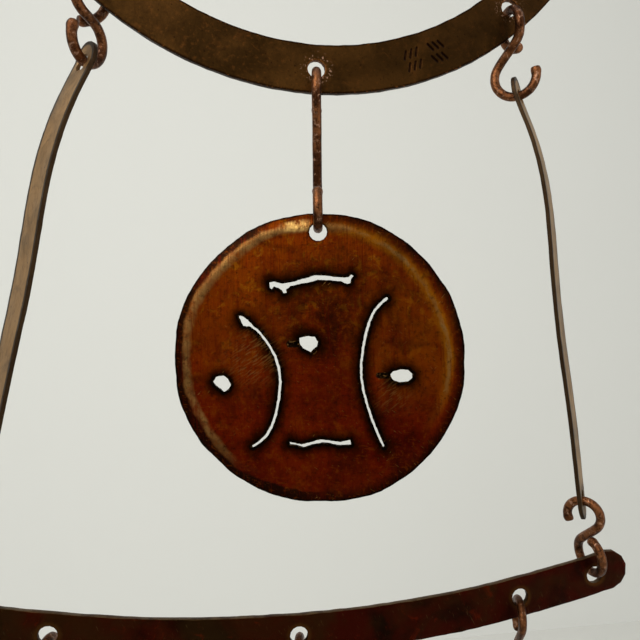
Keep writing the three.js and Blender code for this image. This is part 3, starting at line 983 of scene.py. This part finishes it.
class MOBILE_OT_stage(bpy.types.Operator):
    """Set up the floor, the wall, the lights and the camera"""

    bl_idname = "mobile.stage"
    bl_label = "Stage"

    def sheet(self, name, tint, width, depth, place):
        """One pale, plain surface of the stage, facing the middle of it."""
        bm = bmesh.new()
        bmesh.ops.create_grid(bm, x_segments=1, y_segments=1, size=0.5)
        bmesh.ops.scale(bm, vec=(width, depth, 1), verts=bm.verts)
        bmesh.ops.transform(bm, matrix=place, verts=bm.verts)
        mesh = bpy.data.meshes.new(name)
        bm.to_mesh(mesh)
        bm.free()
        finish = Finish(name, Base_Color=(*tint, 1.0), Roughness=0.9, Specular_IOR_Level=0.2)
        mesh.materials.append(finish.material)
        return add_object(name, mesh)

    def light(self, name, place, target, size, power, tint):
        """A soft square lamp that looks at a point."""
        lamp = bpy.data.lights.new(name, "AREA")
        lamp.size, lamp.energy, lamp.color = size, power, tint
        made = add_object(name, lamp)
        made.location = place
        made.rotation_euler = (target - place).to_track_quat("-Z", "Y").to_euler()
        made.visible_camera = False

    def execute(self, context):
        s = settings("stage")
        floor_height = CAD_BOX[0].z - s.floor_gap
        wall_at = box_middle(RING).y + s.wall_gap
        depth = s.floor_depth
        floor = self.sheet("Floor", s.floor, depth, depth,
                           Matrix.Translation((0, wall_at - depth / 2, floor_height)))
        upright = Matrix.Rotation(math.radians(90), 4, "X")
        middle = Vector((0, wall_at, floor_height + s.wall_height / 2))
        wall = self.sheet("Wall", s.wall, s.wall_width, s.wall_height,
                          Matrix.Translation(middle) @ upright)

        world = bpy.data.worlds.new("Studio")
        world.use_nodes = True
        sky = world.node_tree.nodes["Background"]
        sky.inputs["Color"].default_value = (0.98, 0.98, 0.96, 1.0)
        sky.inputs["Strength"].default_value = s.sky
        context.scene.world = world
        aim = box_middle(DISC)
        self.light("Key", aim + Vector((-0.9, -1.0, 0.9)), aim, 1.1, s.key_power,
                   (1.0, 0.98, 0.94))
        self.light("Fill", aim + Vector((1.1, -0.9, 0.1)), aim, 1.2, s.fill_power,
                   (1.0, 0.95, 0.88))
        self.light("Top", Vector((-0.5, -0.2, 2.2)), aim, 2.4, s.top_power,
                   (1.0, 1.0, 0.98))

        lens = bpy.data.cameras.new("Camera")
        lens.lens, lens.sensor_width = s.lens, 36.0
        lens.clip_start, lens.clip_end = 0.01, 50.0
        camera = add_object("Camera", lens)
        turn = Matrix.Rotation(-s.camera_turn, 3, "Z")
        camera.location = box_middle(RING) + turn @ Vector(
            (s.camera_side, -s.camera_distance, -s.camera_drop))
        camera.rotation_euler = (math.radians(90), 0, -s.camera_turn)
        context.scene.camera = camera
        context.scene.view_settings.view_transform = "Standard"
        return {"FINISHED"}


PIECES = (MOBILE_OT_upper_ring, MOBILE_OT_centre_disc, MOBILE_OT_pendant_discs,
          MOBILE_OT_long_hooks, MOBILE_OT_strap_hooks, MOBILE_OT_pendant_hooks,
          MOBILE_OT_side_straps, MOBILE_OT_lower_bar, MOBILE_OT_stage)


class MOBILE_PT_panel(bpy.types.Panel):
    """Buttons and settings of the mobile"""

    bl_idname = "MOBILE_PT_panel"
    bl_label = "Hanging Mobile"
    bl_space_type = "VIEW_3D"
    bl_region_type = "UI"
    bl_category = "Mobile"

    def draw(self, context):
        for piece in PIECES:
            self.layout.operator(piece.bl_idname)
        for name, group in GROUPS.items():
            box = self.layout.box()
            box.label(text=name.title())
            for key in group.__annotations__:
                box.prop(settings(name), key)


GROUPS = {"plates": PlateSettings, "rods": RodSettings, "colours": ColourSettings,
          "stage": StageSettings}
CLASSES = (*GROUPS.values(), *PIECES, MOBILE_PT_panel)


def register():
    noise.seed_set(NOISE_SEED)
    for cls in CLASSES:
        bpy.utils.register_class(cls)
    for name, group in GROUPS.items():
        setattr(bpy.types.Scene, "mobile_" + name, PointerProperty(type=group))


def unregister():
    for name in GROUPS:
        delattr(bpy.types.Scene, "mobile_" + name)
    for cls in reversed(CLASSES):
        bpy.utils.unregister_class(cls)


def main():
    register()
    for piece in PIECES:
        group, name = piece.bl_idname.split(".")
        getattr(getattr(bpy.ops, group), name)()


if __name__ == "__main__":
    main()
